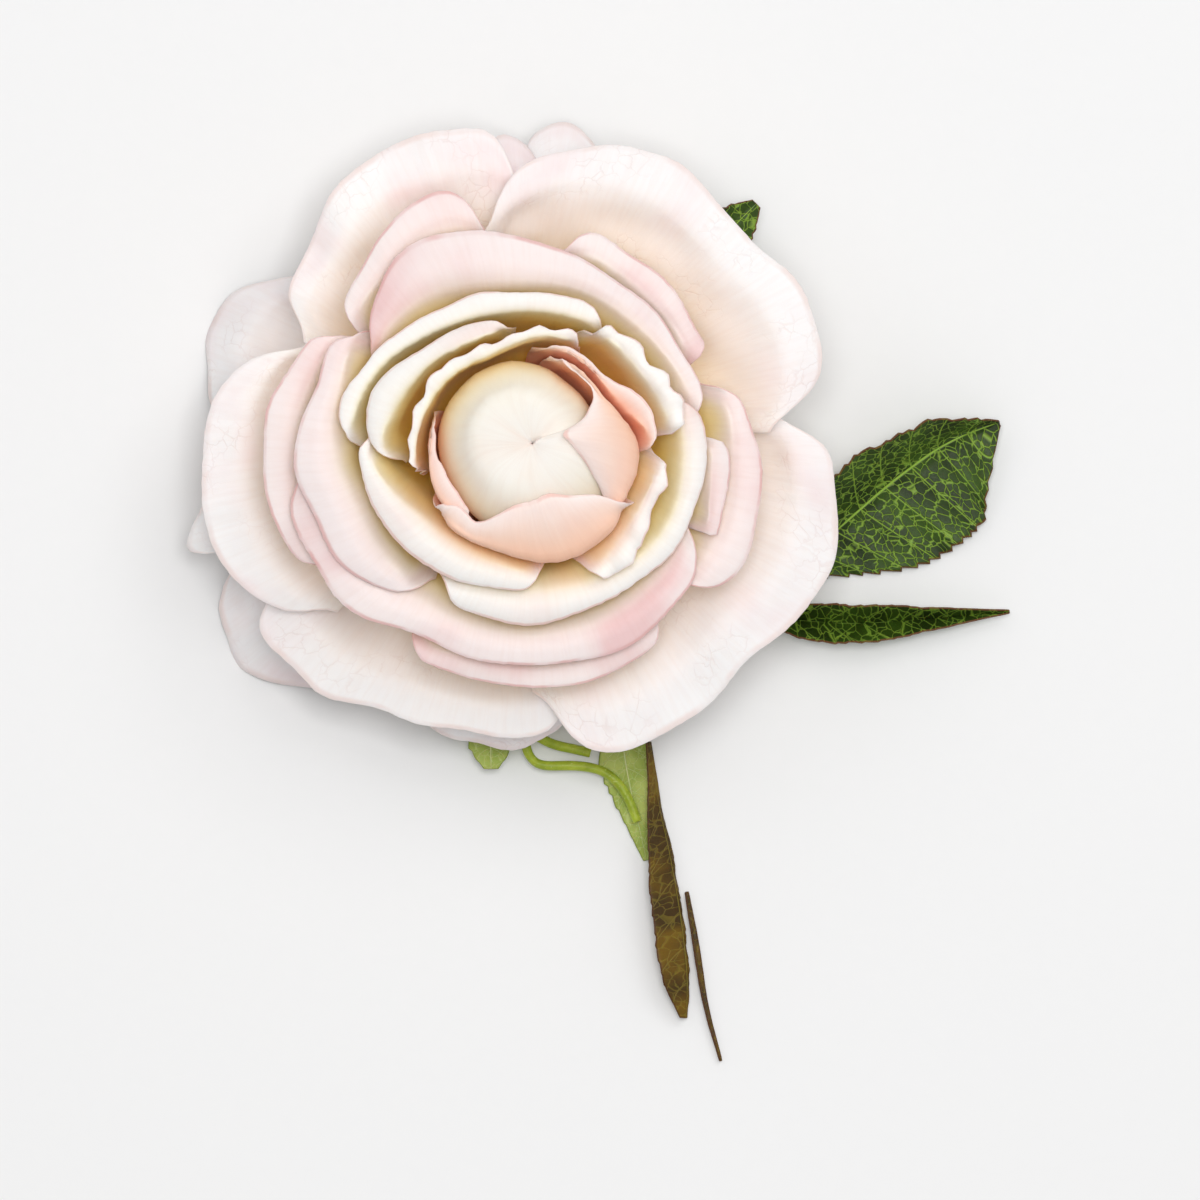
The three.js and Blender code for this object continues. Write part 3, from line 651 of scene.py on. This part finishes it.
def leaf_material(name, dark, light, vein_colour, veins, net, edge, rough=0.5):
    """dark and light: the blade's two tones. net: how strongly the fine net of veins shows."""
    tree = Tree(name)
    across, outward = tree.attribute("across"), tree.attribute("outward")
    surface = tree.combine(tree.attribute("width"), outward, tree.math("MULTIPLY", tree.attribute("tone"), 50.0))
    cloud = tree.noise(surface, 0.16, 3.0)
    colour = tree.mix(tree.between(cloud, 0.35, 0.7), dark, light)
    wobble = tree.noise(surface, 0.6, 2.0)
    warped = tree.nodes.new("ShaderNodeVectorMath")
    warped.operation = "MULTIPLY_ADD"
    tree.put(warped.inputs[0], tree.combine(wobble, wobble, wobble))
    warped.inputs[1].default_value = (1.3, -1.5, 0)
    tree.put(warped.inputs[2], surface)
    fine = tree.between(tree.cracks(warped.outputs[0], 0.75), 0.0, 0.085, 1.0, 0.0)
    reach = tree.math("ABSOLUTE", across)
    bend = tree.math("MULTIPLY", tree.math("POWER", reach, 1.3), 0.9)
    slow = tree.math("MULTIPLY_ADD", tree.attribute("rise"), -0.4, 1.0)
    phase = tree.math("SUBTRACT", tree.math("MULTIPLY", tree.attribute("rise"), veins), tree.math("MULTIPLY", bend, slow))
    apart = tree.math("ABSOLUTE", tree.math("SINE", tree.math("MULTIPLY", phase, math.pi)))
    branch = tree.between(apart, 0.0, 0.11, 1.0, 0.0)
    rib = tree.between(reach, 0.01, 0.04, 1.0, 0.0)
    fine = tree.math("MULTIPLY", fine, net)
    branch = tree.math("MULTIPLY", branch, min(1.0, net + 0.15))
    lines = tree.math("MAXIMUM", fine, tree.math("MAXIMUM", branch, rib))
    colour = tree.mix(lines, colour, vein_colour)
    rimmed = tree.math("MAXIMUM", tree.attribute("rim"), tree.between(reach, 0.97, 1.0))
    colour = tree.mix(tree.math("MULTIPLY", rimmed, 0.8), colour, edge)
    grain = tree.noise(surface, 4.0, 3.0)
    height = tree.math("MULTIPLY_ADD", lines, -0.8, tree.math("MULTIPLY", grain, 0.3))
    tree.bump(height, 0.18 * MM, 0.8)
    return tree.finish(
        colour, tree.between(grain, 0.2, 0.8, rough - 0.08, rough + 0.12), Subsurface_Weight=0.1,
        Subsurface_Scale=0.001, Specular_IOR_Level=0.3)


LEAF_LOOKS = {
    "leaf_dark": dict(dark=hexed("1f3006"), light=hexed("36500f"), vein_colour=hexed("8fb23f"),
                      veins=8.0, net=0.72, edge=hexed("6a3c22")),
    "leaf_bronze": dict(dark=hexed("3f2c04"), light=hexed("6e5208"), vein_colour=hexed("8f7f2a"),
                        veins=8.0, net=0.35, edge=hexed("4a2606")),
    "leaf_underside": dict(dark=hexed("94a648"), light=hexed("b9c56a"), vein_colour=hexed("d3dc9a"),
                           veins=8.0, net=0.35, edge=hexed("7e8f36"), rough=0.62),
    "sepal_green": dict(dark=hexed("6f8a33"), light=hexed("8fa548"), vein_colour=hexed("b0c070"),
                        veins=9.0, net=0.3, edge=hexed("6f8a33"), rough=0.62),
}

# Pairs of side veins, the depth of their relief and the reach of the margin's teeth, in millimetres.
BLADES = {
    "leaf_dark": dict(veins=8, relief=0.3, teeth=0.9),
    "leaf_bronze": dict(veins=8, relief=0.22, teeth=0.5),
    "leaf_underside": dict(veins=8, relief=0.2, teeth=0.9),
    "sepal_green": dict(veins=9, relief=0.12, teeth=0.0),
}


# ---- Stem, stalks and receptacle ----
SHARP = math.radians(55)


def rounded_piece(node):
    """A smooth copy of a faceted CAD solid that keeps its sharp ends."""
    points, triangles = merged(node)
    mesh = bpy.data.meshes.new("green_" + node)
    mesh.from_pydata(points.tolist(), [], triangles)
    shape = bmesh.new()
    shape.from_mesh(mesh)
    bmesh.ops.join_triangles(
        shape, faces=shape.faces, angle_face_threshold=math.radians(40), angle_shape_threshold=math.radians(50))
    sharpness = shape.edges.layers.float.new("crease_edge")
    for edge in shape.edges:
        if len(edge.link_faces) == 2 and edge.calc_face_angle() > SHARP:
            edge[sharpness] = 0.8
    shape.to_mesh(mesh)
    shape.free()
    mesh.polygons.foreach_set("use_smooth", np.ones(len(mesh.polygons), bool))
    piece = bpy.data.objects.new("green_" + node, mesh)
    bpy.context.scene.collection.objects.link(piece)
    piece.modifiers.new("round", "SUBSURF").render_levels = 2
    piece.modifiers["round"].levels = 2
    return piece


def green_material(name, dark, light, rough):
    """A plant-green skin with fine mottling and pale specks."""
    tree = Tree(name)
    place = tree.nodes.new("ShaderNodeTexCoord").outputs["Object"]
    cloud = tree.noise(place, 260.0, 4.0, 0.6)
    speck = tree.noise(place, 2200.0, 2.0)
    colour = tree.mix(tree.between(cloud, 0.3, 0.7), dark, light)
    colour = tree.mix(tree.between(speck, 0.62, 0.75, 0.0, 0.35), colour, hexed("e2e89a"))
    tree.bump(tree.math("ADD", tree.math("MULTIPLY", cloud, 0.8), tree.math("MULTIPLY", speck, 0.3)), 0.25 * MM, 0.7)
    return tree.finish(
        colour, tree.between(speck, 0.2, 0.8, rough - 0.1, rough + 0.1), Subsurface_Weight=0.12,
        Subsurface_Scale=0.001, Specular_IOR_Level=0.35)


GREEN_LOOKS = {
    "stem_green": dict(dark=hexed("4f6a1c"), light=hexed("7d9636"), rough=0.5),
    "stalk_green": dict(dark=hexed("86991f"), light=hexed("aebd3a"), rough=0.45),
    "receptacle_green": dict(dark=hexed("6d8530"), light=hexed("90a64a"), rough=0.6),
}


# ---- Everything in its place ----
def make_materials():
    made = {}
    for name, look in PETAL_LOOKS.items():
        made[name] = petal_material(name, **look)
    for name, look in LEAF_LOOKS.items():
        made[name] = leaf_material(name, **look)
    for name, look in GREEN_LOOKS.items():
        made[name] = green_material(name, **look)
    return made


def make_rose():
    materials = make_materials()
    for seed, (node, slot) in enumerate(sorted(SLOTS.items())):
        if slot in PETAL_LOOKS:
            piece = petal_piece(node, seed)
        elif slot in BLADES:
            piece = blade_piece(node, seed, **BLADES[slot])
        else:
            piece = rounded_piece(node)
        settle(piece, node, materials)


make_rose()


# ---- Floor and light ----
FLOOR_SIZE = 12.0
KEY_PLACE = Vector((0.45, 0.55, 1.1))
KEY_SIZE = 0.7
KEY_POWER = 3.4
FILL_PLACE = Vector((-0.6, 0.5, 0.9))
FILL_POWER = 1.0
OVERHEAD_PLACE = Vector((0.05, 0.12, 1.6))
OVERHEAD_SIZE = 0.5
OVERHEAD_POWER = 12.8
SKY_STRENGTH = 0.4


def make_floor():
    mesh = bpy.data.meshes.new("floor")
    half = FLOOR_SIZE / 2
    mesh.from_pydata([(-half, -half, 0), (half, -half, 0), (half, half, 0), (-half, half, 0)], [], [(0, 1, 2, 3)])
    floor = bpy.data.objects.new("floor", mesh)
    floor.location.z = LOW.z
    bpy.context.scene.collection.objects.link(floor)
    tree = Tree("floor")
    place = tree.nodes.new("ShaderNodeTexCoord").outputs["Object"]
    shade = tree.mix(tree.noise(place, 400.0, 3.0), (0.85, 0.85, 0.85), (0.86, 0.86, 0.86))
    mesh.materials.append(tree.finish(shade, 0.9, Specular_IOR_Level=0.0))


def add_light(name, place, power, size):
    data = bpy.data.lights.new(name, "AREA")
    data.energy = power
    data.size = size
    light = bpy.data.objects.new(name, data)
    light.location = MIDDLE + place
    light.rotation_mode = "QUATERNION"
    light.rotation_quaternion = (-place).to_track_quat("-Z", "Y")
    bpy.context.scene.collection.objects.link(light)


def make_studio():
    make_floor()
    add_light("key", KEY_PLACE, KEY_POWER, KEY_SIZE)
    add_light("fill", FILL_PLACE, FILL_POWER, KEY_SIZE)
    add_light("overhead", OVERHEAD_PLACE, OVERHEAD_POWER, OVERHEAD_SIZE)
    world = bpy.data.worlds.new("studio")
    world.use_nodes = True
    background = world.node_tree.nodes["Background"]
    background.inputs["Color"].default_value = (1, 1, 1, 1)
    background.inputs["Strength"].default_value = SKY_STRENGTH
    scene = bpy.context.scene
    scene.world = world
    scene.view_settings.view_transform = "Standard"


make_studio()
